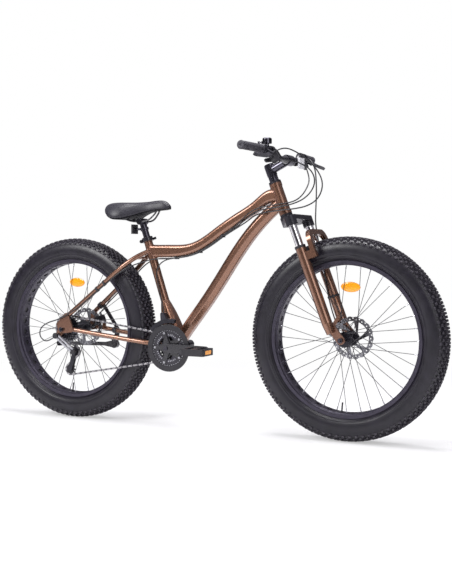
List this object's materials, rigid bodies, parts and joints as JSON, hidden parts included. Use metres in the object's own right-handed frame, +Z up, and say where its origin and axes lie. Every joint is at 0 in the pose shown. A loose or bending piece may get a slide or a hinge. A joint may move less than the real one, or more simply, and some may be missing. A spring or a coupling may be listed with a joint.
{
  "type": "fat tire bike",
  "caption": "Hardtail fat tire bicycle with a curved top tube, suspension fork, disc brakes, derailleur gears, side stand, bell and reflectors.",
  "frame": {"origin": "on the ground under the middle of the wheelbase", "axes": "+X forward, +Y to the rider's left, +Z up; the drive side is -Y"},
  "size_m": [1.952, 0.6712, 1.1034],
  "materials": {
    "bronze_paint": "metallic bronze paint",
    "black_paint": "satin black paint",
    "black_alloy": "black anodised",
    "steel": "bare steel",
    "chrome": "polished",
    "black_plastic": "moulded black",
    "tyre": "moulded rubber",
    "grip_rubber": "dark grey rubber",
    "saddle_cover": "black vinyl",
    "amber_lens": "amber prism",
    "clear_lens": "clear prism",
    "red_lens": "red prism"
  },
  "bodies": {
    "frame": {"main_frame": "bronze_paint", "rear_stays": "bronze_paint", "bearing_cups": "black_paint", "seat_collar": "black_paint", "rear_axle": "steel", "rear_caliper": "black_alloy", "kickstand_bracket": "black_paint", "front_derailleur": "black_plastic", "rear_derailleur": "black_plastic", "chain": "steel", "frame_cables": "black_plastic"},
    "seat": {"seatpost": "black_alloy", "saddle": "saddle_cover", "saddle_frame": "black_paint", "rear_reflector": "red_lens"},
    "seat_lever": {"seat_quick_release": "black_alloy"},
    "steering": {"fork_crown": "black_paint", "stanchions": "chrome", "stem": "black_alloy", "handlebar": "black_alloy", "grips": "grip_rubber", "bar_clamps": "black_alloy", "shifters": "black_plastic", "bell": "black_alloy", "front_reflector": "clear_lens", "front_brake_cable": "black_plastic"},
    "lowers": {"fork_lowers": "bronze_paint", "front_axle": "steel", "front_caliper": "black_alloy"},
    "front_wheel": {"front_tire": "tyre", "front_inner_tube": "tyre", "front_rim": "black_alloy", "front_spokes": "steel", "front_hub": "black_alloy", "front_wheel_reflector": "amber_lens"},
    "rear_wheel": {"rear_tire": "tyre", "rear_inner_tube": "tyre", "rear_rim": "black_alloy", "rear_spokes": "steel", "rear_hub": "black_alloy", "rear_wheel_reflector": "amber_lens"},
    "crankset": {"right_crank": "black_paint", "left_crank": "black_paint", "crank_spindle": "steel", "chainrings": "steel"},
    "cassette": {"cassette": "steel"},
    "right_pedal": {"right_pedal": "black_plastic"},
    "left_pedal": {"left_pedal": "black_plastic"},
    "cage": {"rear_derailleur_cage": "steel"},
    "upper_jockey": {"upper_jockey_wheel": "black_plastic"},
    "lower_jockey": {"lower_jockey_wheel": "black_plastic"},
    "front_cage": {"front_derailleur_cage": "steel"},
    "right_brake_lever": {"right_brake_lever": "black_alloy"},
    "left_brake_lever": {"left_brake_lever": "black_alloy"},
    "rear_caliper_arm": {"rear_caliper_arm": "steel"},
    "front_caliper_arm": {"front_caliper_arm": "steel"},
    "right_shift_lever": {"right_shift_lever": "black_plastic"},
    "left_shift_lever": {"left_shift_lever": "black_plastic"},
    "bell_striker": {"bell_striker": "steel"},
    "kickstand": {"kickstand_leg": "black_paint"}
  },
  "joints": [
    {"name": "steering", "type": "hinge", "parent": "frame", "child": "steering", "pos_m": [0.35538, 0, 0.83462], "axis": [-0.3567, 0, 0.9342], "range_deg": [-45, 45], "deforming": ["frame_cables"]},
    {"name": "fork_travel", "type": "slide", "parent": "steering", "child": "lowers", "axis": [-0.3567, 0, 0.9342], "range_m": [0, 0.055], "stiffness_N_per_m": 6000, "springref_m": -0.03, "deforming": ["front_brake_cable"]},
    {"name": "front_wheel_spin", "type": "hinge", "parent": "lowers", "child": "front_wheel", "pos_m": [0.601, 0, 0.375], "axis": [0, 1, 0], "continuous": true},
    {"name": "rear_wheel_spin", "type": "hinge", "parent": "frame", "child": "rear_wheel", "pos_m": [-0.601, 0, 0.375], "axis": [0, 1, 0], "continuous": true},
    {"name": "crank_spin", "type": "hinge", "parent": "frame", "child": "crankset", "pos_m": [-0.11, 0, 0.3175], "axis": [0, 1, 0], "continuous": true},
    {"name": "cassette_spin", "type": "hinge", "parent": "frame", "child": "cassette", "pos_m": [-0.601, 0, 0.375], "axis": [0, 1, 0], "continuous": true},
    {"name": "right_pedal_spin", "type": "hinge", "parent": "crankset", "child": "right_pedal", "pos_m": [0.06, 0, 0.3175], "axis": [0, 1, 0], "continuous": true},
    {"name": "left_pedal_spin", "type": "hinge", "parent": "crankset", "child": "left_pedal", "pos_m": [-0.28, 0, 0.3175], "axis": [0, 1, 0], "continuous": true},
    {"name": "derailleur_cage_swing", "type": "hinge", "parent": "frame", "child": "cage", "pos_m": [-0.564, -0.063, 0.283], "axis": [0, -1, 0], "range_deg": [0, 25], "stiffness_Nm_per_rad": 0.6, "springref_deg": -34.38, "deforming": ["chain"]},
    {"name": "upper_jockey_spin", "type": "hinge", "parent": "cage", "child": "upper_jockey", "pos_m": [-0.564, -0.063, 0.283], "axis": [0, 1, 0], "continuous": true},
    {"name": "lower_jockey_spin", "type": "hinge", "parent": "cage", "child": "lower_jockey", "pos_m": [-0.587, -0.063, 0.207], "axis": [0, 1, 0], "continuous": true},
    {"name": "front_cage_shift", "type": "slide", "parent": "frame", "child": "front_cage", "axis": [0, -1, 0], "range_m": [0, 0.014], "stiffness_N_per_m": 400, "springref_m": -0.02},
    {"name": "right_brake_squeeze", "type": "hinge", "parent": "steering", "child": "right_brake_lever", "pos_m": [0.37696, -0.19304, 1.04198], "axis": [-0.5378, 0.069, -0.8403], "range_deg": [0, 15], "stiffness_Nm_per_rad": 1.2, "springref_deg": -20.05},
    {"name": "right_shift_push", "type": "hinge", "parent": "steering", "child": "right_shift_lever", "pos_m": [0.36921, -0.14284, 1.03318], "axis": [0.8718, -0.1302, 0.4723], "range_deg": [0, 25], "stiffness_Nm_per_rad": 0.15, "springref_deg": -22.92},
    {"name": "left_brake_squeeze", "type": "hinge", "parent": "steering", "child": "left_brake_lever", "pos_m": [0.37696, 0.19304, 1.04198], "axis": [0.5378, 0.069, 0.8403], "range_deg": [0, 15], "stiffness_Nm_per_rad": 1.2, "springref_deg": -20.05},
    {"name": "left_shift_push", "type": "hinge", "parent": "steering", "child": "left_shift_lever", "pos_m": [0.36921, 0.14284, 1.03318], "axis": [-0.8718, -0.1302, -0.4723], "range_deg": [0, 25], "stiffness_Nm_per_rad": 0.15, "springref_deg": -22.92},
    {"name": "rear_caliper_pull", "type": "hinge", "parent": "frame", "child": "rear_caliper_arm", "pos_m": [-0.52792, 0.085, 0.40754], "axis": [0, 1, 0], "range_deg": [0, 15]},
    {"name": "front_caliper_pull", "type": "hinge", "parent": "lowers", "child": "front_caliper_arm", "pos_m": [0.52338, 0.0705, 0.39435], "axis": [0, -1, 0], "range_deg": [0, 15]},
    {"name": "bell_strike", "type": "hinge", "parent": "steering", "child": "bell_striker", "pos_m": [0.32917, -0.16122, 1.08304], "axis": [0, 0.0206, 0.9998], "range_deg": [-20, 20], "stiffness_Nm_per_rad": 0.05},
    {"name": "kickstand_fold", "type": "hinge", "parent": "frame", "child": "kickstand", "pos_m": [-0.484, 0, 0.301], "axis": [0, -1, 0], "range_deg": [0, 76]},
    {"name": "seatpost_height", "type": "slide", "parent": "frame", "child": "seat", "axis": [-0.314, 0, 0.9494], "range_m": [-0.025, 0.06]},
    {"name": "seat_lever_open", "type": "hinge", "parent": "frame", "child": "seat_lever", "pos_m": [-0.27504, 0.0179, 0.73531], "axis": [-0.314, 0, 0.9494], "range_deg": [0, 150]}
  ],
  "couplings": [
    {"joint": "cassette_spin", "follows": "crank_spin", "ratio": 0.85714},
    {"joint": "upper_jockey_spin", "follows": "crank_spin", "ratio": -2.1818},
    {"joint": "lower_jockey_spin", "follows": "crank_spin", "ratio": 2.1818},
    {"joint": "rear_caliper_pull", "follows": "right_brake_squeeze", "ratio": 1},
    {"joint": "front_caliper_pull", "follows": "left_brake_squeeze", "ratio": 1}
  ]
}
